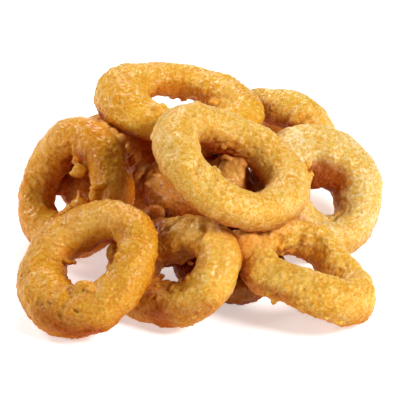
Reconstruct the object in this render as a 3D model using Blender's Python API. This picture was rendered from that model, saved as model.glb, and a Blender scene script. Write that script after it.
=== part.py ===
"""A heap of fried calamari rings, lying loose as they were tipped out, with no dish.

Each ring is a slice of squid in thick puffed batter: a fat ring, a little oval, heavier on
one side, warped and lumpy. The low rings stand on the plane z = 0, each on a small flat
spot, and the others lie across them. Every ring is a solid of its own.

Metres, +Z up. The front of the heap is at -Y, and the origin is at the middle of its
underside. Lengths below are in millimetres and angles in degrees.
"""
import math
import random
from dataclasses import dataclass

import bmesh
import bpy
from mathutils import Quaternion, Vector

HEAP_NAME = "fried_calamari_heap"
MM = 0.001

TURN_STEPS = 36          # points around a ring
SECTION_STEPS = 12       # points around its section
FLAT_DEPTH = 0.4         # batter pressed flat under a ring that stands on the table
SNAP = 0.001             # the flat's edge takes over a point this near to it

# Lumps of the batter: waves around the ring, waves around the section, height
LUMPS = ((5, 1, 0.20), (7, -1, 0.17), (9, 2, 0.12), (4, -2, 0.18))

# Crust colours from the least to the most browned, and its sheen
PALE_CRUST = (0.90, 0.52, 0.13)
DARK_CRUST = (0.32, 0.10, 0.02)
CRUST_ROUGHNESS = 0.45


@dataclass
class Ring:
    """One battered ring; each wave is its height and the direction of its first crest."""
    name: str
    centre: tuple                # x, y; and the height, if the ring lies on others
    lean: tuple                  # tilt from lying flat, and direction of the side that dips
    radius: float                # from the ring's axis to the middle of its section
    thick: float                 # section's size across the ring
    tall: float                  # section's size along the ring's axis
    browning: float              # 0 pale gold, 1 deep brown
    oval: tuple = (0.0, 0)       # two waves: longer one way than the other
    lobe: tuple = (0.0, 0)       # three waves: slightly three-cornered
    heavy: tuple = (0.0, 0)      # share of the section added on one side
    waist: tuple = (0.0, 0)      # share of the section added on two opposite sides
    warp: tuple = (0.0, 0)       # two waves up and down: bent like a saddle


RINGS = (
    Ring("ring_front_left", centre=(-35.5, -30.5), lean=(37, -141),
         radius=17.0, thick=15.0, tall=14.5, browning=0.25,
         oval=(1.0, 5), lobe=(0.5, 25), heavy=(0.15, 210), waist=(0.05, 60), warp=(0.5, 10)),
    Ring("ring_left", centre=(-42.0, 12.0), lean=(58, -141),
         radius=17.0, thick=14.0, tall=14.5, browning=0.45,
         oval=(0.5, 155), lobe=(1.0, 70), heavy=(0.10, 295), waist=(0.10, 70), warp=(0.5, 45)),
    Ring("ring_top_left", centre=(-6.5, 37.5, 38.5), lean=(10, 22),
         radius=19.5, thick=15.0, tall=12.5, browning=0.25,
         oval=(1.0, 175), heavy=(0.10, 200), waist=(0.20, 10)),
    Ring("ring_top_centre", centre=(10.0, -9.0, 42.0), lean=(29, -11),
         radius=20.0, thick=13.5, tall=14.5, browning=0.1,
         oval=(1.0, 10), lobe=(0.5, 30), heavy=(0.05, 110), waist=(0.10, 0), warp=(0.5, 15)),
    Ring("ring_back_right", centre=(30.5, 55.0), lean=(62, 48),
         radius=13.5, thick=11.5, tall=13.5, browning=0.2,
         oval=(0.5, 50), lobe=(1.0, 45), heavy=(0.05, 350), waist=(0.10, 85), warp=(1.5, 105)),
    Ring("ring_right", centre=(39.5, 15.0), lean=(35, -56),
         radius=15.0, thick=17.5, tall=17.0, browning=0.0,
         oval=(0.5, 130), lobe=(0.5, 55), heavy=(0.20, 100), waist=(0.05, 90), warp=(1.0, 35)),
    Ring("ring_front_centre", centre=(-7.5, -29.0), lean=(41, -138),
         radius=14.0, thick=15.5, tall=14.5, browning=0.4,
         oval=(2.5, 160), lobe=(0.5, 30), heavy=(0.10, 150), waist=(0.05, 140), warp=(0.5, 160)),
    Ring("ring_front_right", centre=(34.5, -28.0), lean=(19, 6),
         radius=16.0, thick=12.0, tall=14.5, browning=0.15,
         oval=(2.0, 135), lobe=(1.0, 75), heavy=(0.15, 335), waist=(0.10, 0), warp=(2.0, 100)),
    Ring("ring_low_middle", centre=(10.0, -10.0), lean=(10, -48),
         radius=13.5, thick=12.5, tall=12.5, browning=0.7,
         oval=(1.0, 110), heavy=(0.15, 140), waist=(0.05, 40), warp=(0.5, 125)),
    Ring("ring_behind_left", centre=(-29.5, 30.5), lean=(52, -107),
         radius=13.0, thick=13.5, tall=13.5, browning=0.7,
         oval=(0.5, 70)),
    Ring("ring_under_top", centre=(-1.5, 7.5, 25.0), lean=(12, 158),
         radius=12.5, thick=12.0, tall=12.5, browning=0.6,
         oval=(0.5, 120), lobe=(0.5, 20), warp=(1.0, 160)),
)


def clear_scene():
    for obj in list(bpy.data.objects):
        bpy.data.objects.remove(obj, do_unlink=True)


def crust_material(name, browning):
    material = bpy.data.materials.new(name)
    material.use_nodes = True
    shader = material.node_tree.nodes["Principled BSDF"]
    colour = Vector(PALE_CRUST).lerp(Vector(DARK_CRUST), browning)
    shader.inputs["Base Color"].default_value = (*colour, 1.0)
    shader.inputs["Roughness"].default_value = CRUST_ROUGHNESS
    shader.inputs["Metallic"].default_value = 0.0
    return material


def wave(height_and_direction, count, turn):
    height, direction = height_and_direction
    return height * math.cos(count * (turn - math.radians(direction)))


def surface_point(ring, phases, turn, around):
    """The batter's surface, turn radians around the ring and around its section."""
    middle = ring.radius + wave(ring.oval, 2, turn) + wave(ring.lobe, 3, turn)
    swelling = 1 + wave(ring.heavy, 1, turn) + wave(ring.waist, 2, turn)
    lump = sum(height * math.sin(turns * turn + arounds * around + phase)
               for (turns, arounds, height), phase in zip(LUMPS, phases))
    reach = middle + (ring.thick / 2 * swelling + lump) * math.cos(around)
    rise = wave(ring.warp, 2, turn) + (ring.tall / 2 * math.sqrt(swelling) + lump) * math.sin(around)
    return Vector((reach * math.cos(turn), reach * math.sin(turn), rise))


def ring_object(ring, seed):
    """A torus primitive of radius 1, drawn out to the ring's own uneven surface."""
    bpy.ops.mesh.primitive_torus_add(major_segments=TURN_STEPS, minor_segments=SECTION_STEPS,
                                     major_radius=1.0, minor_radius=0.25)
    obj = bpy.context.object
    obj.name = ring.name
    obj.data.name = ring.name
    chance = random.Random(seed)
    phases = [chance.uniform(0, math.tau) for _ in LUMPS]
    for vertex in obj.data.vertices:
        x, y, z = vertex.co
        turn = math.atan2(y, x)
        around = math.atan2(z, math.hypot(x, y) - 1.0)
        vertex.co = surface_point(ring, phases, turn, around) * MM
    obj.data.shade_smooth()
    obj.data.materials.append(crust_material(ring.name + "_crust", ring.browning))
    return obj


def stand_on_table(obj):
    """Set the ring down on the plane z = 0, with its lowest batter pressed flat there."""
    turned = obj.rotation_quaternion.to_matrix()
    lowest = min((turned @ vertex.co).z for vertex in obj.data.vertices)
    obj.location.z = -FLAT_DEPTH * MM - lowest
    upright = turned.transposed()
    shape = bmesh.new()
    shape.from_mesh(obj.data)
    bmesh.ops.bisect_plane(shape, geom=shape.verts[:] + shape.edges[:] + shape.faces[:],
                           dist=SNAP * MM, plane_co=upright @ Vector((0, 0, -obj.location.z)),
                           plane_no=upright @ Vector((0, 0, 1)), clear_inner=True)
    rim = [edge for edge in shape.edges if edge.is_boundary]
    bmesh.ops.holes_fill(shape, edges=rim, sides=0)
    shape.to_mesh(obj.data)
    shape.free()


def place(obj, ring):
    tilt, direction = (math.radians(angle) for angle in ring.lean)
    hinge = Vector((-math.sin(direction), math.cos(direction), 0))
    obj.rotation_mode = "QUATERNION"
    obj.rotation_quaternion = Quaternion(hinge, tilt)
    if len(ring.centre) == 3:
        obj.location = Vector(ring.centre) * MM
    else:
        obj.location = Vector((*ring.centre, 0)) * MM
        stand_on_table(obj)


def world_points(obj):
    turned = obj.rotation_quaternion.to_matrix()
    return [turned @ vertex.co + obj.location for vertex in obj.data.vertices]


def build_heap():
    clear_scene()
    collection = bpy.data.collections.new(HEAP_NAME)
    bpy.context.scene.collection.children.link(collection)
    heap = bpy.data.objects.new(HEAP_NAME, None)
    collection.objects.link(heap)

    points = []
    for seed, ring in enumerate(RINGS, start=1):
        obj = ring_object(ring, seed)
        place(obj, ring)
        points += world_points(obj)
        for owner in list(obj.users_collection):
            owner.objects.unlink(obj)
        collection.objects.link(obj)
        obj.parent = heap

    for axis in (0, 1):
        spread = [point[axis] for point in points]
        heap.location[axis] = -(min(spread) + max(spread)) / 2


build_heap()
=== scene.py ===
"""The heap of fried calamari rings: puffed, pitted, oily batter on every ring of the frame.

Each ring of the frame is smoothed, given its crumbs, nubs and flaps, skinned as one surface
and raised and sunk by strokes and layers of noise, so that the batter's lumps, creases and
pits are real shape. Metres; the camera looks along +Y, from the front and above. Pixels
are those of the picture that the camera gives, counted from its top left corner.
"""
import itertools
import math
from dataclasses import dataclass

import bmesh
import bpy
import numpy as np
from mathutils import Matrix, Vector
from mathutils.bvhtree import BVHTree
from mathutils.kdtree import KDTree


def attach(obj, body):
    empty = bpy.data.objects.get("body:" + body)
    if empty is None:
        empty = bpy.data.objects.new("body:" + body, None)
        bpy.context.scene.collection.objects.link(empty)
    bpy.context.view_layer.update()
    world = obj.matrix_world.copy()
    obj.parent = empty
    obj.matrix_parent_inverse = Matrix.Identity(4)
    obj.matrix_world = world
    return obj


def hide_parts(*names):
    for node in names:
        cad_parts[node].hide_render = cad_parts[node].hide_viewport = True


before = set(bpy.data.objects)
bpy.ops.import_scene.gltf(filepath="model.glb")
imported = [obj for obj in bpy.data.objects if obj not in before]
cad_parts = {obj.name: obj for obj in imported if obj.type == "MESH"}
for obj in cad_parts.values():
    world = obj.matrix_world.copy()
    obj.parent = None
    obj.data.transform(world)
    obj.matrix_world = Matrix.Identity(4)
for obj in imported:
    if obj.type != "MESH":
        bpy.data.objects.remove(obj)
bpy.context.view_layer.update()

MM = 0.001

# ---------------- camera

CAMERA_ELEVATION = 32.0              # degrees above the table
CAMERA_DISTANCE = 1.0
CAMERA_TARGET = Vector((-0.0002, -0.0089, 0.024))
VIEW_WIDTH = 0.132                   # what the picture shows at the target
SENSOR_WIDTH = 36.0
PICTURE_SIZE = 400                   # pixels each way
CLIP_NEAR = 0.05
CLIP_FAR = 20.0


def add_camera():
    elevation = math.radians(CAMERA_ELEVATION)
    back = Vector((0, -math.cos(elevation), math.sin(elevation)))
    data = bpy.data.cameras.new("camera")
    data.sensor_width = SENSOR_WIDTH
    data.lens = SENSOR_WIDTH * CAMERA_DISTANCE / VIEW_WIDTH
    data.clip_start = CLIP_NEAR
    data.clip_end = CLIP_FAR
    camera = bpy.data.objects.new("camera", data)
    camera.location = CAMERA_TARGET + back * CAMERA_DISTANCE
    camera.rotation_euler = (-back).to_track_quat("-Z", "Y").to_euler()
    bpy.context.scene.collection.objects.link(camera)
    bpy.context.scene.camera = camera
    bpy.context.view_layer.update()
    return camera


def camera_axis(camera):
    return camera.matrix_world.to_3x3() @ Vector((0, 0, -1))


def pixel_ray(camera, pixel):
    """Start and direction of the ray through a pixel of the picture."""
    half = PICTURE_SIZE / 2
    reach = VIEW_WIDTH / CAMERA_DISTANCE / PICTURE_SIZE
    across = (pixel[0] - half) * reach
    up = (half - pixel[1]) * reach
    direction = camera.matrix_world.to_3x3() @ Vector((across, up, -1))
    return camera.matrix_world.translation.copy(), direction.normalized()


# ---------------- what marks each ring

@dataclass
class Blob:
    """Batter stuck on: half its size across, up and towards the camera, in mm."""
    pixel: tuple
    size: tuple
    turn: float = 0.0                # anticlockwise in the picture, degrees
    sink: float = 0.0                # mm behind the ring's surface
    beside: tuple = None             # pixel of the surface it grows from, if not its own


@dataclass
class Stroke:
    """Batter raised along a line of pixels, or with a height below 0, sunk."""
    path: tuple
    width: float                     # mm, to where it has mostly died away
    height: float                    # mm
    edge: float = 2.0                # 2 is a round hill, 4 and more a flat top with steep sides


@dataclass
class PaintedShading:
    """Colour darkened along a line of pixels, mostly as painted shade and partly as the batter's own
    browning; with an amount below 0, lightened as painted light.
    """
    path: tuple
    width: float                     # mm
    amount: float                    # 1 or -1 at most
    edge: float = 2.0


@dataclass
class Look:
    """How one ring's batter differs from the others."""
    slot: str
    colour: tuple                    # of its batter, between hollows and puffed spots, with painted light and shade in it
    rough: float                     # how much its surface heaves
    crumbs: int                      # crumbs scattered over it, mostly inside its hole
    oil: float                       # how wet it shines
    step: float = 0.375              # between the points of its surface, mm


# Each ring's colour holds painted light and shade as well as its own tone: ring_low_middle and
# ring_under_top, deep in the heap, are darker as painted shade.
LOOKS = {
    "ring_front_left": Look(slot="batter", colour=(0.68, 0.304, 0.018), rough=1.1, crumbs=46, oil=0.45),
    "ring_left": Look(slot="batter_browned", colour=(0.75, 0.315, 0.018),
                      rough=0.75, crumbs=30, oil=0.8),
    "ring_top_left": Look(slot="batter", colour=(0.79, 0.400, 0.034), rough=1.1, crumbs=22, oil=0.5),
    "ring_top_centre": Look(slot="batter_pale", colour=(0.78, 0.448, 0.082),
                            rough=0.8, crumbs=18, oil=0.3),
    "ring_back_right": Look(slot="batter", colour=(0.80, 0.480, 0.088), rough=0.7, crumbs=26, oil=0.6),
    "ring_right": Look(slot="batter_pale", colour=(0.80, 0.525, 0.155), rough=0.55, crumbs=20, oil=0.3),
    "ring_front_centre": Look(slot="batter_browned", colour=(0.76, 0.410, 0.055),
                              rough=0.85, crumbs=38, oil=0.6),
    "ring_front_right": Look(slot="batter", colour=(0.81, 0.455, 0.066), rough=1.2, crumbs=38, oil=0.4),
    "ring_low_middle": Look(slot="batter_browned", colour=(0.35, 0.112, 0.009),
                            rough=1.0, crumbs=26, oil=0.5, step=0.48),
    "ring_behind_left": Look(slot="batter_browned", colour=(0.70, 0.290, 0.030),
                             rough=1.1, crumbs=26, oil=0.7, step=0.48),
    "ring_under_top": Look(slot="batter_browned", colour=(0.56, 0.225, 0.030),
                           rough=1.2, crumbs=34, oil=0.6, step=0.48),
}

# A tone above 0 is painted shade, in places also the batter's own browning; below 0 it is painted
# light.
MARKS = {
    "ring_front_left": (
        Blob(pixel=(67, 261), size=(1.9, 1.0, 1.6), turn=-26, sink=1.8, beside=(56, 262)),
        Blob(pixel=(74, 262), size=(1.0, 0.8, 1.2), turn=-26, sink=1.8, beside=(56, 262)),
        Blob(pixel=(84, 288), size=(3.4, 2.4, 2.6), sink=0.3),
        Blob(pixel=(92, 290), size=(1.9, 1.1, 1.6), turn=-20, sink=0.4),
        Blob(pixel=(121, 247), size=(0.9, 1.0, 0.9)),
        Blob(pixel=(118, 256), size=(1.1, 1.2, 1.0)),
        Blob(pixel=(110, 266), size=(1.3, 0.8, 1.0), turn=25),
        Blob(pixel=(68, 281), size=(1.4, 1.0, 1.2)),
        Blob(pixel=(66, 313), size=(1.5, 1.2, 0.6)),
        Blob(pixel=(49, 299), size=(1.8, 1.5, 0.6)),
        Blob(pixel=(157, 233), size=(0.6, 0.8, 0.8)),
        Stroke(path=((73, 290), (70, 297), (66, 304), (60, 312)), width=1.5, height=-0.8),
        Stroke(path=((64, 292), (58, 300)), width=1.8, height=0.5),
        Stroke(path=((79, 298), (76, 306), (72, 312)), width=2.2, height=0.8),
        Stroke(path=((75, 310), (76, 311)), width=1.0, height=-1.6),
        Stroke(path=((49, 294), (50, 295)), width=0.7, height=-0.6),
        Stroke(path=((49, 302), (51, 303)), width=0.7, height=-0.5),
        Stroke(path=((84, 329), (90, 330)), width=0.8, height=-0.5),
        Stroke(path=((100, 228), (118, 222), (140, 222)), width=1.8, height=0.5),
        Stroke(path=((122, 232), (136, 236)), width=1.2, height=-0.4),
        Stroke(path=((60, 240), (90, 225)), width=2.4, height=0.4),
        Stroke(path=((128, 262), (140, 256)), width=1.6, height=0.5),
        Stroke(path=((40, 300), (52, 318), (70, 330)), width=2.2, height=-0.5),
        Stroke(path=((32, 262), (30, 285)), width=1.8, height=0.4),
        Stroke(path=((112, 296), (118, 288)), width=2.0, height=-0.4),
        PaintedShading(path=((38, 312), (55, 326), (75, 334), (95, 332)), width=3.2, amount=0.65),
        PaintedShading(path=((52, 308), (62, 318), (84, 322)), width=3.0, amount=0.35),
        PaintedShading(path=((92, 258), (100, 250), (108, 246)), width=3.0, amount=0.2),
        PaintedShading(path=((112, 263), (114, 252), (112, 242)), width=2.2, amount=0.9),
        PaintedShading(path=((56, 244), (78, 230), (104, 220)), width=4.0, amount=-0.35),
        PaintedShading(path=((120, 230), (126, 236)), width=1.6, amount=0.35),
        PaintedShading(path=((100, 300), (125, 285), (140, 262)), width=4.0, amount=-0.12),
    ),
    "ring_left": (
        Blob(pixel=(79, 171), size=(2.6, 2.4, 2.0), turn=-20, beside=(88, 166)),
        Blob(pixel=(72, 174), size=(1.4, 0.9, 1.2), turn=-30, beside=(88, 166)),
        Blob(pixel=(76, 161), size=(1.1, 1.6, 1.4), beside=(84, 156)),
        Blob(pixel=(87, 168), size=(2.0, 2.6, 1.6), sink=0.4),
        Blob(pixel=(98, 187), size=(2.8, 1.4, 2.0), turn=8, sink=-1.0),
        Blob(pixel=(96, 196), size=(2.4, 3.0, 2.2), sink=-0.4),
        Blob(pixel=(80, 195), size=(0.8, 1.8, 1.2), turn=12, beside=(60, 216)),
        Blob(pixel=(80, 204), size=(3.6, 2.4, 2.8), turn=20, beside=(60, 216)),
        Blob(pixel=(70, 209), size=(2.2, 1.8, 2.2), turn=20, beside=(60, 216)),
        Blob(pixel=(63, 214), size=(2.0, 1.5, 1.4), turn=20),
        Blob(pixel=(58, 219), size=(1.2, 1.0, 1.0)),
        Blob(pixel=(107, 126), size=(2.8, 1.2, 1.8), turn=-38, sink=1.2),
        Blob(pixel=(115, 132), size=(2.0, 1.2, 1.8), turn=-45, sink=1.2),
        Blob(pixel=(121, 139), size=(1.6, 2.0, 1.8), turn=-25, sink=1.0),
        Blob(pixel=(127, 150), size=(1.3, 2.6, 1.8), turn=-20, sink=1.2),
        Blob(pixel=(132, 161), size=(1.1, 1.8, 1.6), turn=-15, sink=1.2),
        Blob(pixel=(29, 178), size=(1.8, 1.9, 0.8), sink=0.1),
        Blob(pixel=(36, 183), size=(1.2, 1.0, 0.6)),
        Blob(pixel=(35, 220), size=(1.4, 0.9, 0.6), turn=15),
        Stroke(path=((61, 145), (66, 144), (71, 141)), width=0.8, height=0.7),
        Stroke(path=((61, 148), (68, 147)), width=0.9, height=-0.5),
        Stroke(path=((69, 142), (71, 150), (73, 160)), width=0.8, height=-0.9),
        Stroke(path=((73, 141), (75, 150), (76, 157)), width=0.9, height=0.6),
        Stroke(path=((72, 130), (72, 141)), width=0.8, height=-0.4),
        Stroke(path=((85, 194), (87, 198)), width=1.5, height=-1.3),
        Stroke(path=((92, 184), (106, 182)), width=1.0, height=0.5),
        Stroke(path=((98, 160), (112, 185)), width=4.0, height=0.5),
        Stroke(path=((48, 150), (40, 176)), width=2.0, height=0.3),
        PaintedShading(path=((90, 128), (94, 150), (97, 175)), width=3.4, amount=0.30),
        PaintedShading(path=((117, 174), (120, 186), (125, 200)), width=3.5, amount=-0.3),
        PaintedShading(path=((47, 172), (41, 200)), width=3.0, amount=-0.35),
        PaintedShading(path=((66, 160), (66, 196)), width=1.6, amount=0.4),
        PaintedShading(path=((78, 116), (56, 122), (42, 142)), width=5.0, amount=-0.4),
        PaintedShading(path=((106, 126), (121, 139), (127, 151)), width=1.8, amount=-0.9),
        PaintedShading(path=((83, 160), (85, 174)), width=3.8, amount=0.85),
    ),
    "ring_top_left": (
        Blob(pixel=(158, 110), size=(2.5, 1.9, 2.0), sink=0.6),
        Blob(pixel=(163, 106), size=(1.1, 0.8, 1.0)),
        Blob(pixel=(219, 103), size=(3.4, 1.5, 1.4), turn=-6, sink=0.3),
        Blob(pixel=(212, 103), size=(1.3, 1.3, 1.3)),
        Blob(pixel=(172, 98), size=(1.2, 0.7, 1.0)),
        Blob(pixel=(184, 100), size=(1.2, 0.7, 1.0)),
        Blob(pixel=(238, 82), size=(0.9, 0.7, 0.8)),
        Blob(pixel=(104, 88), size=(1.4, 2.2, 0.6)),
        Blob(pixel=(118, 98), size=(2.0, 1.6, 0.6)),
        Stroke(path=((160, 67), (166, 66)), width=1.3, height=0.45, edge=4.0),
        Stroke(path=((157, 71), (156, 78), (152, 84)), width=0.8, height=-0.5),
        Stroke(path=((207, 97), (208, 104)), width=0.9, height=-0.8),
        Stroke(path=((212, 98), (222, 96), (232, 99)), width=0.9, height=-0.5),
        Stroke(path=((205, 82), (204, 90)), width=1.0, height=0.5),
        Stroke(path=((110, 118), (135, 128), (150, 118)), width=2.0, height=0.4),
        Stroke(path=((118, 102), (119, 103)), width=0.8, height=-0.5),
        Stroke(path=((130, 90), (145, 92)), width=2.0, height=-0.4),
        Stroke(path=((176, 75), (196, 80)), width=1.6, height=0.35),
        PaintedShading(path=((110, 128), (130, 138), (148, 142)), width=3.0, amount=0.35),
        PaintedShading(path=((145, 68), (185, 68), (222, 78)), width=4.0, amount=-0.25),
        PaintedShading(path=((108, 84), (120, 106)), width=4.5, amount=0.12),
        PaintedShading(path=((165, 84), (185, 86), (200, 92)), width=2.2, amount=0.35),
    ),
    "ring_top_centre": (
        Blob(pixel=(197, 104), size=(1.3, 0.8, 1.2)),
        Blob(pixel=(152, 137), size=(0.8, 1.3, 1.2), sink=0.3),
        Blob(pixel=(223, 147), size=(1.1, 1.1, 0.9)),
        Blob(pixel=(208, 167), size=(1.2, 1.1, 1.0)),
        Blob(pixel=(214, 168), size=(1.0, 0.9, 0.9)),
        Blob(pixel=(218, 172), size=(0.9, 1.3, 1.0)),
        Blob(pixel=(219, 180), size=(1.0, 0.9, 0.9)),
        Blob(pixel=(308, 164), size=(1.1, 1.3, 1.1)),
        Blob(pixel=(311, 174), size=(0.8, 1.3, 0.9)),
        Blob(pixel=(310, 179), size=(0.7, 0.6, 0.8)),
        Blob(pixel=(269, 190), size=(2.4, 0.8, 1.4), turn=12),
        Blob(pixel=(165, 164), size=(0.6, 1.6, 0.6)),
        Stroke(path=((193, 114), (195, 119), (198, 122)), width=0.9, height=-0.8),
        Stroke(path=((198, 115), (200, 121)), width=0.8, height=0.5),
        Stroke(path=((198, 124), (200, 132), (197, 142)), width=1.6, height=-0.6),
        Stroke(path=((182, 144), (188, 152), (182, 160)), width=3.6, height=0.7, edge=4.0),
        Stroke(path=((168, 146), (176, 144), (182, 138)), width=0.9, height=0.5),
        Stroke(path=((167, 150), (167, 162)), width=0.8, height=0.4),
        Stroke(path=((229, 128), (235, 126), (241, 124)), width=0.9, height=0.6),
        Stroke(path=((229, 131), (240, 128)), width=0.9, height=-0.3),
        Stroke(path=((220, 192), (221, 193)), width=0.8, height=-0.6),
        Stroke(path=((276, 199), (281, 202)), width=0.8, height=-0.4),
        Stroke(path=((213, 141), (222, 150), (232, 150)), width=1.0, height=-0.4),
        Stroke(path=((306, 172), (309, 178)), width=0.9, height=-0.6),
        Stroke(path=((290, 140), (304, 154)), width=1.0, height=0.3),
        PaintedShading(path=((205, 145), (215, 150), (232, 156)), width=2.2, amount=0.4),
        PaintedShading(path=((252, 170), (264, 182), (270, 188)), width=2.6, amount=0.25),
        PaintedShading(path=((153, 142), (161, 166), (176, 192), (202, 217), (232, 230)), width=2.6, amount=0.22),
    ),
    "ring_back_right": (
        Blob(pixel=(276, 103), size=(1.6, 1.0, 0.7), turn=30),
        Blob(pixel=(283, 99), size=(1.2, 0.8, 0.6)),
        Blob(pixel=(272, 109), size=(0.9, 0.7, 0.6)),
        Blob(pixel=(299, 115), size=(2.8, 4.4, 2.6), turn=-38, sink=-0.5, beside=(312, 112)),
        Blob(pixel=(306, 110), size=(3.0, 3.0, 2.4), sink=-0.3, beside=(312, 112)),
        Stroke(path=((303, 107), (296, 117), (289, 126)), width=1.0, height=0.7),
        Stroke(path=((299, 106), (292, 117)), width=0.8, height=-0.5),
        Stroke(path=((307, 110), (299, 121), (293, 128)), width=0.8, height=-0.5),
        Stroke(path=((305, 107), (300, 114)), width=0.7, height=0.4),
        Stroke(path=((300, 123), (308, 116)), width=0.8, height=0.4),
        PaintedShading(path=((266, 116), (272, 124), (286, 124)), width=3.0, amount=0.6),
    ),
    "ring_right": (
        Blob(pixel=(316, 170), size=(1.8, 1.2, 1.4), sink=0.8),
        Stroke(path=((312, 184), (321, 182), (331, 184)), width=3.0, height=1.7),
        Stroke(path=((314, 212), (322, 218), (332, 217)), width=2.4, height=-1.5),
        Blob(pixel=(329, 216), size=(1.0, 0.8, 0.8)),
        Stroke(path=((279, 131), (296, 127), (322, 128)), width=1.0, height=0.5),
        Stroke(path=((290, 131), (312, 132), (323, 129)), width=1.0, height=-0.3),
        Stroke(path=((330, 218), (340, 212), (348, 211)), width=1.0, height=-0.4),
        Stroke(path=((325, 224), (338, 218), (352, 216)), width=1.6, height=0.3),
        Stroke(path=((374, 230), (376, 238)), width=1.4, height=-0.5),
        Stroke(path=((330, 150), (350, 158)), width=2.0, height=0.35),
        Stroke(path=((318, 222), (322, 232)), width=1.0, height=-0.4),
        PaintedShading(path=((311, 174), (324, 173), (337, 180)), width=5.0, amount=1.0, edge=4.0),
        PaintedShading(path=((314, 184), (328, 185)), width=3.0, amount=0.6),
        PaintedShading(path=((335, 190), (338, 202)), width=2.4, amount=0.4),
    ),
    "ring_front_centre": (
        Blob(pixel=(114, 253), size=(2.2, 3.8, 2.4), beside=(126, 258)),
        Blob(pixel=(152, 216), size=(4.4, 3.2, 3.0), turn=30, sink=2.4),
        Blob(pixel=(176, 222), size=(3.0, 1.9, 1.2), turn=30, sink=0.3),
        Blob(pixel=(168, 227), size=(1.4, 1.3, 0.8)),
        Blob(pixel=(189, 222), size=(2.0, 1.0, 0.9), turn=-12),
        Blob(pixel=(205, 240), size=(1.4, 2.6, 1.3), turn=-14, sink=0.2),
        Blob(pixel=(172, 246), size=(1.0, 0.6, 0.5)),
        Blob(pixel=(177, 249), size=(0.6, 1.0, 0.5)),
        Blob(pixel=(182, 262), size=(1.1, 0.9, 0.9)),
        Blob(pixel=(191, 263), size=(1.2, 0.8, 0.9)),
        Blob(pixel=(167, 263), size=(0.9, 1.0, 0.9)),
        Blob(pixel=(199, 271), size=(0.9, 1.1, 0.9)),
        Blob(pixel=(189, 278), size=(1.0, 1.0, 0.9)),
        Blob(pixel=(181, 281), size=(1.1, 0.9, 0.9)),
        Blob(pixel=(174, 288), size=(1.2, 0.8, 0.9)),
        Blob(pixel=(162, 276), size=(1.0, 1.1, 0.9)),
        Blob(pixel=(199, 311), size=(0.9, 0.8, 0.5)),
        Blob(pixel=(194, 318), size=(0.9, 0.6, 0.5)),
        Blob(pixel=(158, 297), size=(0.8, 0.7, 0.5)),
        Blob(pixel=(178, 316), size=(0.9, 0.8, 0.5)),
        Stroke(path=((206, 226), (200, 238), (199, 250), (203, 261)), width=1.5, height=-1.5),
        Stroke(path=((185, 214), (200, 219)), width=0.9, height=0.4),
        Stroke(path=((172, 232), (184, 228)), width=0.9, height=0.45),
        Stroke(path=((178, 238), (190, 233)), width=0.9, height=-0.35),
        Stroke(path=((214, 297), (220, 304)), width=0.9, height=0.35),
        Stroke(path=((211, 300), (216, 306)), width=0.8, height=-0.3),
        Stroke(path=((163, 326), (171, 326)), width=1.6, height=0.5),
        Stroke(path=((205, 262), (210, 272), (208, 284)), width=2.0, height=0.4),
        Stroke(path=((160, 285), (169, 289), (178, 287)), width=2.2, height=-1.4),
        Stroke(path=((198, 258), (199, 268)), width=1.8, height=-0.9),
        PaintedShading(path=((160, 305), (182, 312), (205, 306)), width=3.6, amount=0.55),
        PaintedShading(path=((128, 290), (142, 306), (160, 318)), width=4.5, amount=0.7),
        PaintedShading(path=((150, 275), (152, 292)), width=2.6, amount=0.4),
        PaintedShading(path=((215, 240), (228, 262), (222, 285)), width=4.0, amount=-0.28),
        PaintedShading(path=((174, 220), (190, 225), (182, 238)), width=3.6, amount=-0.5),
        PaintedShading(path=((152, 212), (158, 226)), width=4.6, amount=1.0),
        PaintedShading(path=((126, 256), (128, 270)), width=5.0, amount=0.9),
        PaintedShading(path=((166, 240), (180, 248)), width=3.0, amount=0.4),
    ),
    "ring_front_right": (
        Blob(pixel=(247, 246), size=(4.6, 5.4, 3.6), sink=1.8, beside=(258, 246)),
        Blob(pixel=(239, 237), size=(3.2, 2.6, 2.6), sink=2.6, beside=(258, 246)),
        Blob(pixel=(285, 241), size=(3.6, 3.2, 2.6), turn=15, sink=1.2),
        Blob(pixel=(279, 246), size=(1.6, 2.2, 1.2), sink=0.3),
        Blob(pixel=(293, 238), size=(1.4, 2.6, 1.2), turn=20, sink=0.2),
        Blob(pixel=(304, 244), size=(0.8, 0.7, 0.6)),
        Blob(pixel=(281, 254), size=(1.2, 0.8, 0.9), turn=-35),
        Blob(pixel=(298, 257), size=(0.9, 0.7, 0.9)),
        Blob(pixel=(308, 261), size=(0.9, 0.7, 0.9)),
        Blob(pixel=(274, 300), size=(1.4, 1.7, 1.2)),
        Blob(pixel=(268, 294), size=(1.6, 1.2, 1.2)),
        Blob(pixel=(339, 323), size=(1.8, 0.9, 1.2)),
        Blob(pixel=(256, 250), size=(2.4, 2.0, 1.0), sink=0.4),
        Blob(pixel=(268, 262), size=(2.2, 1.6, 1.0), sink=0.4),
        Blob(pixel=(326, 318), size=(0.9, 0.6, 0.9)),
        Stroke(path=((280, 237), (280, 243)), width=1.1, height=-1.4),
        Stroke(path=((267, 232), (270, 247), (280, 253)), width=0.9, height=-0.6),
        Stroke(path=((301, 229), (299, 240), (294, 249)), width=1.4, height=-0.9),
        Stroke(path=((290, 233), (287, 248)), width=0.7, height=-0.35),
        Stroke(path=((294, 234), (291, 249)), width=0.7, height=-0.35),
        Stroke(path=((276, 295), (277, 297)), width=0.8, height=-1.0),
        Stroke(path=((296, 296), (297, 297)), width=0.7, height=-0.6),
        Stroke(path=((345, 263), (346, 264)), width=0.8, height=-0.6),
        Stroke(path=((338, 269), (339, 270)), width=0.7, height=-0.5),
        Stroke(path=((347, 281), (348, 282)), width=0.7, height=-0.5),
        Stroke(path=((302, 288), (303, 289)), width=0.7, height=-0.5),
        Stroke(path=((262, 270), (268, 290)), width=1.8, height=-0.5),
        Stroke(path=((318, 300), (328, 308)), width=1.8, height=-0.5),
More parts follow.
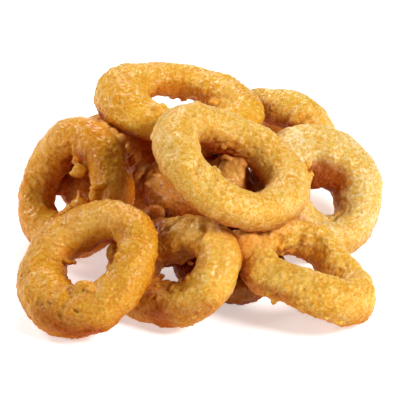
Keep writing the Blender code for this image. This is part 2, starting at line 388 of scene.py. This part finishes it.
        Stroke(path=((330, 290), (345, 296)), width=1.8, height=0.5),
        PaintedShading(path=((228, 238), (244, 246), (262, 242)), width=5.0, amount=-0.5),
        PaintedShading(path=((255, 262), (268, 272), (300, 285)), width=4.0, amount=-0.3),
        PaintedShading(path=((344, 288), (354, 302)), width=4.5, amount=0.15),
        PaintedShading(path=((300, 256), (312, 263), (330, 270)), width=2.2, amount=0.5),
        PaintedShading(path=((242, 274), (258, 287), (286, 296)), width=3.2, amount=0.55),
    ),
    "ring_low_middle": (
        Blob(pixel=(168, 261), size=(3.4, 2.2, 2.4), beside=(186, 266)),
        Blob(pixel=(176, 262), size=(1.6, 1.2, 1.0)),
        Blob(pixel=(186, 268), size=(1.4, 1.4, 1.0)),
    ),
    "ring_behind_left": (
        Blob(pixel=(60, 186), size=(3.6, 3.4, 3.0), sink=1.5, beside=(74, 186)),
        PaintedShading(path=((60, 186), (84, 188)), width=5.0, amount=0.35),
        PaintedShading(path=((120, 150), (126, 175)), width=5.0, amount=0.15),
    ),
    "ring_under_top": (
        Blob(pixel=(206, 152), size=(3.0, 2.2, 3.0), sink=3.0, beside=(222, 160)),
        Blob(pixel=(139, 180), size=(2.6, 3.6, 2.6), sink=1.0),
        Blob(pixel=(141, 168), size=(2.2, 2.4, 2.2), sink=1.0),
        Blob(pixel=(146, 168), size=(2.0, 1.8, 1.0), sink=0.3),
        Blob(pixel=(157, 177), size=(1.8, 1.4, 1.0), sink=0.3),
        Blob(pixel=(148, 184), size=(1.4, 1.2, 0.9), sink=0.2),
        Blob(pixel=(171, 202), size=(3.2, 2.6, 1.6), sink=0.8),
        Blob(pixel=(243, 172), size=(1.4, 1.8, 0.8), turn=-20),
        Blob(pixel=(234, 170), size=(4.4, 5.4, 3.4), sink=1.6),
        Blob(pixel=(232, 178), size=(3.6, 3.2, 1.6), sink=0.9, beside=(236, 172)),
        Blob(pixel=(227, 158), size=(2.2, 1.2, 1.8), turn=-20, sink=0.6, beside=(236, 172)),
        Blob(pixel=(242, 163), size=(1.6, 2.4, 1.6), turn=35, sink=0.4, beside=(236, 172)),
        Blob(pixel=(226, 170), size=(1.6, 2.2, 1.5), sink=0.2, beside=(236, 172)),
        Blob(pixel=(240, 178), size=(1.8, 2.4, 1.4), turn=-15, sink=0.2, beside=(236, 172)),
        Blob(pixel=(248, 190), size=(2.8, 3.2, 2.8), sink=5.0, beside=(236, 172)),
        Stroke(path=((152, 171), (153, 173)), width=0.9, height=-0.8),
        Stroke(path=((158, 186), (170, 192)), width=1.4, height=-0.7),
        Stroke(path=((240, 166), (247, 174)), width=0.8, height=-0.5),
        Stroke(path=((228, 170), (234, 182)), width=1.2, height=0.4),
        PaintedShading(path=((226, 166), (240, 176)), width=4.5, amount=-0.7),
        PaintedShading(path=((150, 195), (175, 205)), width=4.0, amount=0.25),
        PaintedShading(path=((248, 184), (250, 194)), width=2.4, amount=1.0),
        PaintedShading(path=((204, 148), (210, 160)), width=3.2, amount=0.6),
        PaintedShading(path=((141, 164), (141, 184), (134, 206)), width=3.6, amount=-0.4),
    ),
}

# ---------------- noise

TABLE_SIZE = 256
NOISE_GAIN = 1.7                     # makes smooth_noise reach from about -1 to 1


def noise_tables(seed):
    chance = np.random.default_rng(seed)
    shuffle = chance.permutation(TABLE_SIZE)
    slopes = chance.normal(size=(TABLE_SIZE, 3))
    slopes /= np.linalg.norm(slopes, axis=1, keepdims=True)
    offsets = chance.uniform(0.0, 1.0, size=(TABLE_SIZE, 3))
    return shuffle, slopes, offsets


def cell_index(shuffle, cell):
    first = shuffle[cell[:, 0] % TABLE_SIZE]
    second = shuffle[(first + cell[:, 1]) % TABLE_SIZE]
    return shuffle[(second + cell[:, 2]) % TABLE_SIZE]


def smooth_noise(points, size, seed):
    """Rounded hills and hollows about size across, roughly from -1 to 1."""
    shuffle, slopes, _ = noise_tables(seed)
    place = points / size
    cell = np.floor(place).astype(np.int64)
    part = place - cell
    fade = part * part * part * (part * (part * 6 - 15) + 10)       # eases in and out
    total = np.zeros(len(points))
    for corner in itertools.product((0, 1), repeat=3):
        corner = np.array(corner)
        slope = slopes[cell_index(shuffle, cell + corner)]
        share = np.prod(np.where(corner, fade, 1 - fade), axis=1)
        total += share * np.sum(slope * (part - corner), axis=1)
    return total * NOISE_GAIN


def spot_noise(points, size, seed):
    """Distance to the nearest of many scattered dots, in units of size."""
    shuffle, _, offsets = noise_tables(seed)
    place = points / size
    cell = np.floor(place).astype(np.int64)
    nearest = np.full(len(points), np.inf)
    for step in itertools.product((-1, 0, 1), repeat=3):
        near = cell + np.array(step)
        dots = near + offsets[cell_index(shuffle, near)]
        nearest = np.minimum(nearest, np.sum((dots - place) ** 2, axis=1))
    return np.sqrt(nearest)


# ---------------- ring surfaces

WELD = 0.001 * MM                    # points this near to each other become one
QUAD_ANGLE = math.radians(60)        # how far from flat and square a quad may be
SMOOTHING_LEVELS = 3
PUFF = 0.30 * MM                     # what smoothing takes off, put back
ROOM_NEAR = 0.5 * MM                 # this near to the next ring there is no room for lumps
ROOM_FAR = 2.0 * MM                  # and from here on there is all of it
# Openness sets the painted shade between the rings.
OPEN_EVERY = 5                       # openness is worked out for one point in so many
OPEN_MEAN = 5                        # and taken elsewhere as the mean of so many near ones
OPEN_RAYS = 48                       # sent all ways from each point
OPEN_SLOPE = 0.1                     # those nearer along the surface than this don't count
OPEN_LIFT = 0.3 * MM                 # they start this far off it
OPEN_REACH = 0.05                    # and are open if they meet nothing over this length


def clean_copy(name):
    """A copy of the frame's ring, welded, as a cage of quads."""
    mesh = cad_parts[name].data.copy()
    shape = bmesh.new()
    shape.from_mesh(mesh)
    bmesh.ops.remove_doubles(shape, verts=shape.verts, dist=WELD)
    bmesh.ops.join_triangles(shape, faces=shape.faces, angle_face_threshold=QUAD_ANGLE,
                             angle_shape_threshold=QUAD_ANGLE)
    shape.to_mesh(mesh)
    shape.free()
    mesh.materials.clear()
    piece = bpy.data.objects.new(name + "_batter", mesh)
    bpy.context.scene.collection.objects.link(piece)
    return piece


def bake_modifiers(piece):
    """Replace the piece's mesh by what its modifiers make of it."""
    graph = bpy.context.evaluated_depsgraph_get()
    mesh = bpy.data.meshes.new_from_object(piece.evaluated_get(graph))
    piece.modifiers.clear()
    old = piece.data
    piece.data = mesh
    bpy.data.meshes.remove(old)
    mesh.name = piece.name


def read_points(mesh):
    points = np.empty(len(mesh.vertices) * 3, np.float32)
    mesh.vertices.foreach_get("co", points)
    return points.reshape(-1, 3).astype(float)


def read_normals(mesh):
    mesh.update()
    normals = np.empty(len(mesh.vertices) * 3, np.float32)
    mesh.vertex_normals.foreach_get("vector", normals)
    return normals.reshape(-1, 3).astype(float)


def write_points(mesh, points):
    mesh.vertices.foreach_set("co", points.astype(np.float32).ravel())
    mesh.update()


def move_along_normals(mesh, heights):
    points = read_points(mesh) + read_normals(mesh) * heights[:, None]
    write_points(mesh, points)


def store(mesh, name, values):
    attribute = mesh.attributes.new(name, "FLOAT", "POINT")
    attribute.data.foreach_set("value", values.astype(np.float32))


def tree_of(mesh):
    shape = bmesh.new()
    shape.from_mesh(mesh)
    tree = BVHTree.FromBMesh(shape)
    shape.free()
    return tree


def smooth_ring(name):
    """The frame's ring as a smooth new piece, as big as before."""
    piece = clean_copy(name)
    smooth = piece.modifiers.new("round", "SUBSURF")
    smooth.levels = SMOOTHING_LEVELS
    smooth.render_levels = SMOOTHING_LEVELS
    bake_modifiers(piece)
    mesh = piece.data
    move_along_normals(mesh, np.full(len(mesh.vertices), PUFF))
    return piece


def joined_tree(meshes):
    """One search tree over all the meshes."""
    points, faces = [], []
    for mesh in meshes:
        start = len(points)
        points += [vertex.co.copy() for vertex in mesh.vertices]
        faces += [[start + index for index in face.vertices] for face in mesh.polygons]
    return BVHTree.FromPolygons(points, faces)


def room_around(points, others):
    """0 where a point all but touches another ring, 1 where it has room to be raised."""
    room = np.ones(len(points))
    for index, point in enumerate(points):
        distance = others.find_nearest(point, ROOM_FAR)[3]
        if distance is not None:
            room[index] = max((distance - ROOM_NEAR) / (ROOM_FAR - ROOM_NEAR), 0.0)
    return room


def sphere_directions(count):
    """Directions spread evenly over a sphere."""
    step = np.arange(count) + 0.5
    height = 1 - 2 * step / count
    turn = step * math.pi * (3 - math.sqrt(5))
    around = np.sqrt(1 - height * height)
    return np.column_stack((around * np.cos(turn), around * np.sin(turn), height))


def openness(mesh, heap):
    """Some of the ring's points, and how much of what they face is open, from 0 to 1."""
    points = read_points(mesh)[::OPEN_EVERY]
    normals = read_normals(mesh)[::OPEN_EVERY]
    directions = sphere_directions(OPEN_RAYS)
    facing = normals @ directions.T
    shares = []
    for point, normal, slopes in zip(points, normals, facing):
        start = Vector(point + normal * OPEN_LIFT)
        seen = [index for index in range(OPEN_RAYS) if slopes[index] > OPEN_SLOPE]
        free = sum(slopes[index] for index in seen
                   if heap.ray_cast(start, directions[index], OPEN_REACH)[0] is None)
        shares.append(free / slopes[seen].sum())
    tree = KDTree(len(points))
    for index, point in enumerate(points):
        tree.insert(point, index)
    tree.balance()
    return tree, np.array(shares)


def openness_at(points, known):
    tree, shares = known
    return np.array([shares[[found[1] for found in tree.find_n(point, OPEN_MEAN)]].mean()
                     for point in points])


# ---------------- marks

RAY_NEAR = 0.9 * CAMERA_DISTANCE     # a pixel's ray is searched from here
RAY_FAR = 1.1 * CAMERA_DISTANCE      # to here
RAY_STEP = 0.5 * MM
BLOB_DETAIL = 3                      # subdivisions of a blob's ball
AXIS_EVERY = 7                       # a ring's axis comes from one point in so many
CRUMB_RADIUS = (0.45, 1.25)          # mm
CRUMB_LENGTH = (0.7, 1.4)            # of its radius
CRUMB_HEIGHT = (0.45, 0.9)           # of its radius
CRUMB_SINK = 0.2                     # of its radius
CRUMBS_OUTSIDE = 0.10                # chance of a crumb away from the hole, where 1 is inside
CRUMBS_ON_RIM = 0.1                  # and what is added around the rim
CRUMB_ROOM = 0.9                     # none where the ring has less room than this
SOFTEN_SHARE = 0.5                   # how far each point moves towards its neighbours,
SOFTEN_TIMES = 2                     # so many times
SHORTEST_RUN = 1e-12                 # squared; keeps a run of 0 from dividing by 0


def seen_point(camera, tree, pixel):
    """Where the ring shows at a pixel, or else the point of the pixel's ray nearest to it."""
    start, direction = pixel_ray(camera, pixel)
    hit = tree.ray_cast(start, direction)[0]
    if hit is not None:
        return hit, direction
    best, nearest = None, math.inf
    for depth in np.arange(RAY_NEAR, RAY_FAR, RAY_STEP):
        point = start + direction * depth
        distance = tree.find_nearest(point)[3]
        if distance < nearest:
            best, nearest = point, distance
    return best, direction


def stick_on(piece, matrices):
    """Add a ball to the piece for each matrix, drawn out and placed by it."""
    shape = bmesh.new()
    shape.from_mesh(piece.data)
    for matrix in matrices:
        bmesh.ops.create_icosphere(shape, subdivisions=BLOB_DETAIL, radius=1.0, matrix=matrix)
    shape.to_mesh(piece.data)
    shape.free()


def blob_matrix(camera, tree, blob):
    """The blob's size and place: its first two sizes lie in the picture's plane."""
    point, direction = seen_point(camera, tree, blob.pixel)
    if blob.beside:
        start = pixel_ray(camera, blob.pixel)[0]
        beside, _ = seen_point(camera, tree, blob.beside)
        depth = (beside - start).dot(camera_axis(camera)) / direction.dot(camera_axis(camera))
        point = start + direction * depth
    point = point + direction * blob.sink * MM
    facing = camera.matrix_world.to_3x3() @ Matrix.Rotation(math.radians(blob.turn), 3, "Z")
    size = Matrix.Diagonal(Vector(blob.size) * MM)
    return Matrix.Translation(point) @ (facing @ size).to_4x4()


def inward(points, normals):
    """How far each point of a ring faces the middle of its hole, from -1 to 1."""
    middle = points.mean(axis=0)
    spread = points - middle
    axis = np.linalg.svd(spread[::AXIS_EVERY], full_matrices=False)[2][2]
    across = spread - np.outer(spread @ axis, axis)
    across /= np.linalg.norm(across, axis=1, keepdims=True)
    return -np.sum(across * normals, axis=1)


def crumb_matrices(mesh, room, count, seed):
    """Small uneven crumbs, most of them on the rim and wall of the hole."""
    chance = np.random.default_rng(seed)
    points, normals = read_points(mesh), read_normals(mesh)
    facing = inward(points, normals)
    weight = (CRUMBS_OUTSIDE + np.clip(facing + CRUMBS_ON_RIM, 0, 1)) * (room > CRUMB_ROOM)
    chosen = chance.choice(len(points), count, p=weight / weight.sum(), replace=False)
    for index in chosen:
        normal = Vector(normals[index])
        radius = chance.uniform(*CRUMB_RADIUS) * MM
        size = Matrix.Diagonal(Vector((radius * chance.uniform(*CRUMB_LENGTH), radius,
                                       radius * chance.uniform(*CRUMB_HEIGHT))))
        turn = Matrix.Rotation(chance.uniform(0, math.tau), 3, "Z")
        stand = normal.to_track_quat("Z", "Y").to_matrix()
        place = Vector(points[index]) - normal * radius * CRUMB_SINK
        yield Matrix.Translation(place) @ (stand @ turn @ size).to_4x4()


def skin(piece, step):
    """One even surface over the ring and whatever has been stuck to it."""
    remesh = piece.modifiers.new("skin", "REMESH")
    remesh.mode = "VOXEL"
    remesh.voxel_size = step * MM
    remesh.use_smooth_shade = True
    soften = piece.modifiers.new("soften", "SMOOTH")
    soften.factor = SOFTEN_SHARE
    soften.iterations = SOFTEN_TIMES
    bake_modifiers(piece)
    drop_pockets(piece.data)


def drop_pockets(mesh):
    """Keep the outer surface only, without any small closed pocket left inside it."""
    shape = bmesh.new()
    shape.from_mesh(mesh)
    unseen = set(shape.verts)
    islands = []
    while unseen:
        island = [unseen.pop()]
        for vertex in island:                    # grows on the way
            for edge in vertex.link_edges:
                other = edge.other_vert(vertex)
                if other in unseen:
                    unseen.remove(other)
                    island.append(other)
        islands.append(island)
    islands.sort(key=len)
    for island in islands[:-1]:
        bmesh.ops.delete(shape, geom=island, context="VERTS")
    shape.to_mesh(mesh)
    shape.free()


def distance_to_line(points, line):
    """Distance from each point to a line of short straight runs."""
    nearest = np.full(len(points), np.inf)
    for start, end in zip(line, line[1:]):
        run = end - start
        share = np.clip((points - start) @ run / max(run @ run, SHORTEST_RUN), 0, 1)
        gap = points - start - share[:, None] * run
        nearest = np.minimum(nearest, np.linalg.norm(gap, axis=1))
    return nearest


def along(camera, tree, points, mark):
    """1 on the mark's line of pixels, falling to 0 away from it."""
    line = [np.array(seen_point(camera, tree, pixel)[0]) for pixel in mark.path]
    return np.exp(-(distance_to_line(points, line) / (mark.width * MM)) ** mark.edge)


# ---------------- batter relief

LUMPS = ((7.0, 0.42), (3.4, 0.36))   # size across and height of each layer, mm
JAGGED_SIZE, JAGGED_HEIGHT = 2.0, 0.35           # mm; only where it faces the hole
BLISTER_SIZE, BLISTER_HEIGHT = 1.5, 0.28         # mm
BLISTER_MEAN = 0.45                  # of the pattern, so that it is raised and sunk alike
MOTTLE_SIZE, MOTTLE_HEIGHT = 1.5, 0.15           # mm
GRAIN_SIZE, GRAIN_HEIGHT = 0.95, 0.20            # mm
PIT_SPACING, PIT_DEPTH = 3.2, 0.22               # mm
PIT_RADIUS = 0.20                    # of their spacing
PIT_WALL = 0.7                       # below 1, steeper at the rim than at the bottom
CALM_SHARE = 0.4                     # of the fine relief, where the look's rough is 0
TIGHT_SHARE = 0.3                    # of it, where the ring has no room


def relief(mesh, room, rough, raised, seed):
    """Raise and sink the surface: strokes, broad lumps, puffed blisters, pits and grain."""
    points = read_points(mesh)
    broad = sum(height * smooth_noise(points, size * MM, seed + layer)
                for layer, (size, height) in enumerate(LUMPS))
    facing = np.clip(inward(points, read_normals(mesh)), 0, 1)
    jagged = JAGGED_HEIGHT * smooth_noise(points, JAGGED_SIZE * MM, seed + 6) * facing
    move_along_normals(mesh, raised + (broad * rough + jagged) * MM * room)
    points = read_points(mesh)
    blisters = 1.0 - spot_noise(points, BLISTER_SIZE * MM, seed + 2)
    mottle = smooth_noise(points, MOTTLE_SIZE * MM, seed + 3)
    grain = smooth_noise(points, GRAIN_SIZE * MM, seed + 4)
    pits = np.clip(1.0 - spot_noise(points, PIT_SPACING * MM, seed + 5) / PIT_RADIUS, 0.0, 1.0)
    fine = (BLISTER_HEIGHT * (blisters - BLISTER_MEAN) + MOTTLE_HEIGHT * mottle
            + GRAIN_HEIGHT * grain - PIT_DEPTH * pits ** PIT_WALL)
    fine *= MM * (CALM_SHARE + (1 - CALM_SHARE) * rough) * (TIGHT_SHARE + (1 - TIGHT_SHARE) * room)
    move_along_normals(mesh, fine)
    keep_above_table(mesh)
    for name, values in (("blister", blisters), ("mottle", mottle), ("grain", grain),
                         ("pit", pits)):
        store(mesh, name, values)


def keep_above_table(mesh):
    points = read_points(mesh)
    points[:, 2] = np.maximum(points[:, 2], 0.0)
    write_points(mesh, points)


# ---------------- batter material

NOISES = {                           # of the material: size across in mm, and detail
    "patches": (9.0, 2.0),
    "wet": (6.0, 1.0),
    "blotches": (3.0, 1.0),
    "speck": (0.7, 1.5),
    "dust": (0.42, 1.0),
}
RELIEF_LAYERS = ("blister", "mottle", "grain", "pit")

# Where the colour is between that of hollows, 0, and that of puffed spots, 1: this start,
# and each layer times its weight
COLOUR_START = -0.90
COLOUR_WEIGHTS = {"patches": 0.45, "blotches": 0.30, "speck": 1.00, "dust": 0.80,
                  "blister": 0.26, "mottle": 0.12, "grain": 0.22, "pit": -0.35}

# Each ring's colour is multiplied by these: in its hollows, between, on its puffed spots
COLOUR_RANGE = ((0.90, 0.69, 0.32), (1.0, 0.97, 0.62), (1.08, 1.31, 2.6))
COLOUR_STOPS = (0.22, 0.5, 0.78)     # where those three are
BRIGHTEST = 0.96                     # no part of the colour goes past this
PAINTED_LIGHT_TINT = (0.98, 0.58, 0.13, 1)        # painted light, mixed into it
SHADE_AND_BROWNING_TINT = (0.52, 0.22, 0.13, 1)      # multiplies it: painted shade, and in places the batter's own browning
BETWEEN_RINGS_SHADE_TINT = (0.80, 0.49, 0.48, 1)       # so does this: painted shade deep between the rings

ROUGHNESS = 0.50                     # what it starts from
OIL_SMOOTHS = 0.16                   # what oil takes off it
ROUGHNESS_WEIGHTS = {"wet": -0.30, "speck": 0.20}
BUMP_STRENGTH = 0.8
BUMP_HEIGHT = 0.10                   # mm, and as much again where the look's rough is 1
BUMP_WEIGHTS = {"speck": 0.6, "dust": 0.5}
SUBSURFACE = 0.4
SUBSURFACE_REACH = (1.0, 0.35, 0.10)             # mm: how far red, green and blue spread
OIL_COAT = 0.14                      # coat of the wettest look, where it shines most
COAT_ROUGHNESS = 0.15
SPECULAR = 0.42                      # where it shines most
OIL_TINT = (1.0, 0.88, 0.60, 1)      # frying oil makes the glints a little golden

# The colour sockets of the Mix node, which share their names with its other sockets
MIX_FIRST, MIX_SECOND, MIX_RESULT = 6, 7, 2


def node(tree, kind, **settings):
    made = tree.nodes.new(kind)
    for key, value in settings.items():
        setattr(made, key, value)
    return made


def attribute(tree, name):
    return node(tree, "ShaderNodeAttribute", attribute_name=name).outputs["Fac"]


def noise(tree, place, size, detail):
    texture = node(tree, "ShaderNodeTexNoise")
    texture.inputs["Scale"].default_value = 1.0 / (size * MM)
    texture.inputs["Detail"].default_value = detail
    tree.links.new(place, texture.inputs["Vector"])
    return texture.outputs["Fac"]


def math_node(tree, operation, first, second):
    made = node(tree, "ShaderNodeMath", operation=operation)
    for socket, value in zip(made.inputs, (first, second)):
        if isinstance(value, (int, float)):
            socket.default_value = value
        else:
            tree.links.new(value, socket)
    return made.outputs[0]


def weighted_sum(tree, start, weights, values):
    """start + weight * value, and so on for each of the weights."""
    total = start
    for name, weight in weights.items():
        total = math_node(tree, "ADD", total, math_node(tree, "MULTIPLY", values[name], weight))
    return total


def shades(tree, position, colour):
    """The colour as it is in the hollows, between and on the puffed spots."""
    ramp = node(tree, "ShaderNodeValToRGB")
    stops = ramp.color_ramp.elements
    stops.new(COLOUR_STOPS[1])
    for stop, place, shares in zip(stops, COLOUR_STOPS, COLOUR_RANGE):
        stop.position = place
        stop.color = (*(min(part * share, BRIGHTEST) for part, share in zip(colour, shares)), 1)
    tree.links.new(position, ramp.inputs["Fac"])
    return ramp.outputs["Color"]


def tinted(tree, base, amount, blend, tint):
    """The base colour with a tint over it, as far as the attribute amount says."""
    mix = node(tree, "ShaderNodeMix", data_type="RGBA", blend_type=blend)
    tree.links.new(attribute(tree, amount), mix.inputs["Factor"])
    tree.links.new(base, mix.inputs[MIX_FIRST])
    mix.inputs[MIX_SECOND].default_value = tint
    return mix.outputs[MIX_RESULT]


def batter_material(name, look):
    material = bpy.data.materials.new(name)
    material.use_nodes = True
    tree = material.node_tree
    shader = tree.nodes["Principled BSDF"]
    place = node(tree, "ShaderNodeTexCoord").outputs["Object"]
    values = {layer: noise(tree, place, *settings) for layer, settings in NOISES.items()}
    values |= {layer: attribute(tree, layer) for layer in RELIEF_LAYERS}

    base = shades(tree, weighted_sum(tree, COLOUR_START, COLOUR_WEIGHTS, values), look.colour)
    # Painted light, then painted shade with some of the batter's browning, then painted shade between
    # the rings, over the batter's colour.
    base = tinted(tree, base, "painted_light", "MIX", PAINTED_LIGHT_TINT)
    base = tinted(tree, base, "browning_and_shade", "MULTIPLY", SHADE_AND_BROWNING_TINT)
    base = tinted(tree, base, "shade_between_rings", "MULTIPLY", BETWEEN_RINGS_SHADE_TINT)
    tree.links.new(base, shader.inputs["Base Color"])

    rough = weighted_sum(tree, ROUGHNESS - OIL_SMOOTHS * look.oil, ROUGHNESS_WEIGHTS, values)
    tree.links.new(rough, shader.inputs["Roughness"])

    bump = node(tree, "ShaderNodeBump")
    bump.inputs["Strength"].default_value = BUMP_STRENGTH
    bump.inputs["Distance"].default_value = BUMP_HEIGHT * (1 + look.rough) * MM
    tree.links.new(weighted_sum(tree, 0.0, BUMP_WEIGHTS, values), bump.inputs["Height"])
    tree.links.new(bump.outputs["Normal"], shader.inputs["Normal"])

    shader.inputs["Subsurface Weight"].default_value = SUBSURFACE
    shader.inputs["Subsurface Radius"].default_value = SUBSURFACE_REACH
    shader.inputs["Subsurface Scale"].default_value = MM

    shine = attribute(tree, "shine")
    tree.links.new(math_node(tree, "MULTIPLY", shine, OIL_COAT * look.oil),
                   shader.inputs["Coat Weight"])
    tree.links.new(math_node(tree, "MULTIPLY", shine, SPECULAR),
                   shader.inputs["Specular IOR Level"])
    shader.inputs["Coat Roughness"].default_value = COAT_ROUGHNESS
    shader.inputs["Specular Tint"].default_value = OIL_TINT
    return material


# ---------------- stage

@dataclass
class Lamp:
    """A round soft light that looks at the heap."""
    name: str
    turn: float                      # direction it stands in, from +X towards +Y, degrees
    height: float                    # degrees above the table
    power: float                     # watts


LAMPS = (
    Lamp("key", turn=330, height=38, power=9.4),
    Lamp("back", turn=90, height=35, power=3.5),
    Lamp("back_left", turn=150, height=33, power=4.5),
    Lamp("front_left", turn=210, height=35, power=2.1),
)
LAMP_DISTANCE = 1.0
LAMP_SIZE = 0.3
WORLD_LIGHT = 0.05
WHITE = (1, 1, 1, 1)
FLOOR_SIZE = 6.0
FLOOR_COLOUR = (0.95, 0.95, 0.95, 1)
FLOOR_ROUGHNESS = 0.9
FLOOR_GLOW = 0.5                     # keeps the floor nearly white beside the rings


def add_stage():
    bpy.ops.mesh.primitive_plane_add(size=FLOOR_SIZE, location=(0, 0, 0))
    floor = bpy.context.object
    floor.name = "floor"
    material = bpy.data.materials.new("floor")
    material.use_nodes = True
    shader = material.node_tree.nodes["Principled BSDF"]
    shader.inputs["Base Color"].default_value = FLOOR_COLOUR
    shader.inputs["Roughness"].default_value = FLOOR_ROUGHNESS
    shader.inputs["Emission Color"].default_value = FLOOR_COLOUR
    shader.inputs["Emission Strength"].default_value = FLOOR_GLOW
    floor.data.materials.append(material)


def add_lamp(lamp):
    turn, height = math.radians(lamp.turn), math.radians(lamp.height)
    direction = Vector((math.cos(turn) * math.cos(height), math.sin(turn) * math.cos(height),
                        math.sin(height)))
    data = bpy.data.lights.new(lamp.name, "AREA")
    data.shape = "DISK"
    data.size = LAMP_SIZE
    data.energy = lamp.power
    light = bpy.data.objects.new(lamp.name, data)
    light.location = CAMERA_TARGET + direction * LAMP_DISTANCE
    light.rotation_euler = (-direction).to_track_quat("-Z", "Y").to_euler()
    bpy.context.scene.collection.objects.link(light)


def add_lights():
    for lamp in LAMPS:
        add_lamp(lamp)
    world = bpy.data.worlds.new("world")
    world.use_nodes = True
    background = world.node_tree.nodes["Background"]
    background.inputs["Color"].default_value = WHITE
    background.inputs["Strength"].default_value = WORLD_LIGHT
    bpy.context.scene.world = world
    bpy.context.scene.view_settings.view_transform = "Standard"


# ---------------- build

UNDERSIDE_PAINTED_SHADE = 0.7              # how much painted shade is added for each unit of slope below
UNDERSIDE_SLOPE = 0.3                # this one, where 1 faces up and -1 down
BETWEEN_RINGS_SHADE_SHARE = 1.33                  # of the painted shade between the rings where nothing is open, cut off at 1
BETWEEN_RINGS_SHADE_SLOPE = 1.9                   # and how much less of it where everything is open
PAINTED_LIGHT_CLEARS = 0.7                   # share of that painted shade that the painted light takes away
SHINE_LEVEL = 0.55                   # where the surface stands upright
SHINE_LEAST = 0.1
BETWEEN_RINGS_SHADE_DULLS = 0.75                  # share of the shine that full painted shade between the rings takes away
SHADE_AND_BROWNING_DULLS = 0.5
SEEDS_PER_RING = 10                  # the crumbs and layers of a ring use fewer than these


def marks_of(name, kind):
    return [mark for mark in MARKS[name] if isinstance(mark, kind)]


def store_tints(mesh, painted_light_and_shade, open_share, upward):
    """How much painted shade with some browning, painted light, painted shade between the rings and
    shine each point has, from 0 to 1.
    """
    browning_and_shade, painted_light = np.clip(painted_light_and_shade, 0, 1), np.clip(-painted_light_and_shade, 0, 1)
    shade_between_rings = np.clip(BETWEEN_RINGS_SHADE_SHARE - BETWEEN_RINGS_SHADE_SLOPE * open_share, 0, 1)
    shade_between_rings *= 1 - PAINTED_LIGHT_CLEARS * painted_light
    shine = np.clip(SHINE_LEVEL + upward, SHINE_LEAST, 1)
    shine *= 1 - BETWEEN_RINGS_SHADE_DULLS * shade_between_rings
    shine *= 1 - SHADE_AND_BROWNING_DULLS * browning_and_shade
    for name, values in (("browning_and_shade", browning_and_shade), ("painted_light", painted_light), ("shade_between_rings", shade_between_rings),
                         ("shine", shine)):
        store(mesh, name, values)


def finish_ring(camera, name, piece, others, heap, seed):
    """Turn the smooth ring into a battered one: its shape, its tints and its material."""
    look = LOOKS[name]
    base = tree_of(piece.data)
    known_openness = openness(piece.data, heap)
    room = room_around(read_points(piece.data), others)
    matrices = [blob_matrix(camera, base, blob) for blob in marks_of(name, Blob)]
    matrices += crumb_matrices(piece.data, room, look.crumbs, seed)
    stick_on(piece, matrices)
    skin(piece, look.step)

    points = read_points(piece.data)
    upward = read_normals(piece.data)[:, 2]
    raised = sum((stroke.height * MM * along(camera, base, points, stroke)
                  for stroke in marks_of(name, Stroke)), np.zeros(len(points)))
    # Painted light and shade: each tone along its line, above 0 shade and below 0 light, and painted
    # shade on faces that look down.
    painted_light_and_shade = sum((shading_mark.amount * along(camera, base, points, shading_mark)
                 for shading_mark in marks_of(name, PaintedShading)),
                UNDERSIDE_PAINTED_SHADE * np.clip(UNDERSIDE_SLOPE - upward, 0, 1))
    relief(piece.data, room_around(points, others), look.rough, raised, seed)
    store_tints(piece.data, painted_light_and_shade, openness_at(points, known_openness), upward)
    piece.data.materials.append(batter_material(piece.name, look))


camera = add_camera()
names = sorted(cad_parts)
rings = {name: smooth_ring(name) for name in names}
smooth_meshes = {name: ring.data.copy() for name, ring in rings.items()}
heap = joined_tree(smooth_meshes.values())
for count, name in enumerate(names):
    others = joined_tree(mesh for other, mesh in smooth_meshes.items() if other != name)
    finish_ring(camera, name, rings[name], others, heap, seed=SEEDS_PER_RING * count)
    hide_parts(name)
    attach(rings[name], "root")
add_stage()
add_lights()

bpy.context.view_layer.update()
